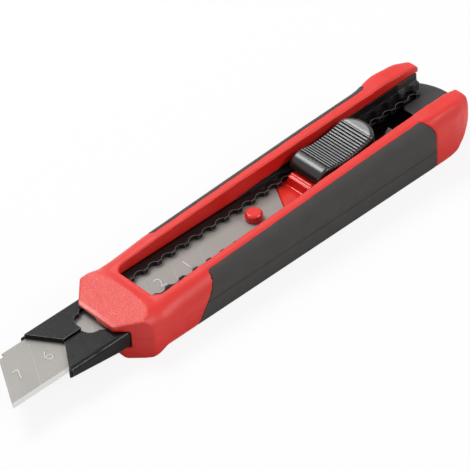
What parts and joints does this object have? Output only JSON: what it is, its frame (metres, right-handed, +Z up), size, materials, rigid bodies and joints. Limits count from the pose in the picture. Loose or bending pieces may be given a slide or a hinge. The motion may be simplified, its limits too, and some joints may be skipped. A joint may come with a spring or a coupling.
{
  "type": "snap-off utility knife",
  "caption": "Retractable snap-off utility knife with a segmented blade in a black channel, a red housing with rubber grips and a ribbed locking thumb slider.",
  "frame": {"origin": "on the flat underside, below the middle of the overall length", "axes": "+X points out along the blade, +Y is the side of the cutting edge, +Z is up, on the side of the thumb slider"},
  "size_m": [0.171, 0.0296, 0.0184],
  "materials": {
    "blade": "satin",
    "spare_blades": "satin",
    "channel": "black coated steel, satin",
    "housing": "red nylon, satin",
    "rubber": "matt, fine grain",
    "slider": "black, polished",
    "carrier": "red acetal",
    "guide": "black acetal",
    "cap": "dark grey nylon",
    "spring": "bright spring steel",
    "screw": "black oxide",
    "rivet": "plain steel"
  },
  "bodies": {
    "handle": {"housing_upper": "housing", "housing_lower": "housing", "grip_left_upper": "rubber", "grip_left_lower": "rubber", "grip_right_upper": "rubber", "grip_right_lower": "rubber", "housing_screws": "screw", "blade_channel": "channel", "channel_rivets": "rivet", "rail_guide_left": "guide", "rail_guide_right": "guide", "spare_blade_1": "spare_blades", "spare_blade_2": "spare_blades", "magazine_spring": "spring"},
    "carriage": {"blade_carrier": "carrier", "blade": "blade", "brake_leaf": "spring", "lock_spring": "spring"},
    "thumb": {"thumb_slider": "slider", "lock_plate": "slider"},
    "cap": {"end_cap": "cap"}
  },
  "joints": [
    {"name": "carriage_slide", "type": "slide", "parent": "handle", "child": "carriage", "axis": [1, 0, 0], "range_m": [-0.02, 0.04]},
    {"name": "thumb_press", "type": "slide", "parent": "carriage", "child": "thumb", "axis": [0, 0, -1], "range_m": [0, 0.0011], "stiffness_N_per_m": 1000, "springref_m": -0.0005, "deforming": ["lock_spring"]},
    {"name": "cap_pull", "type": "slide", "parent": "handle", "child": "cap", "axis": [-1, 0, 0], "range_m": [0, 0.012]}
  ]
}
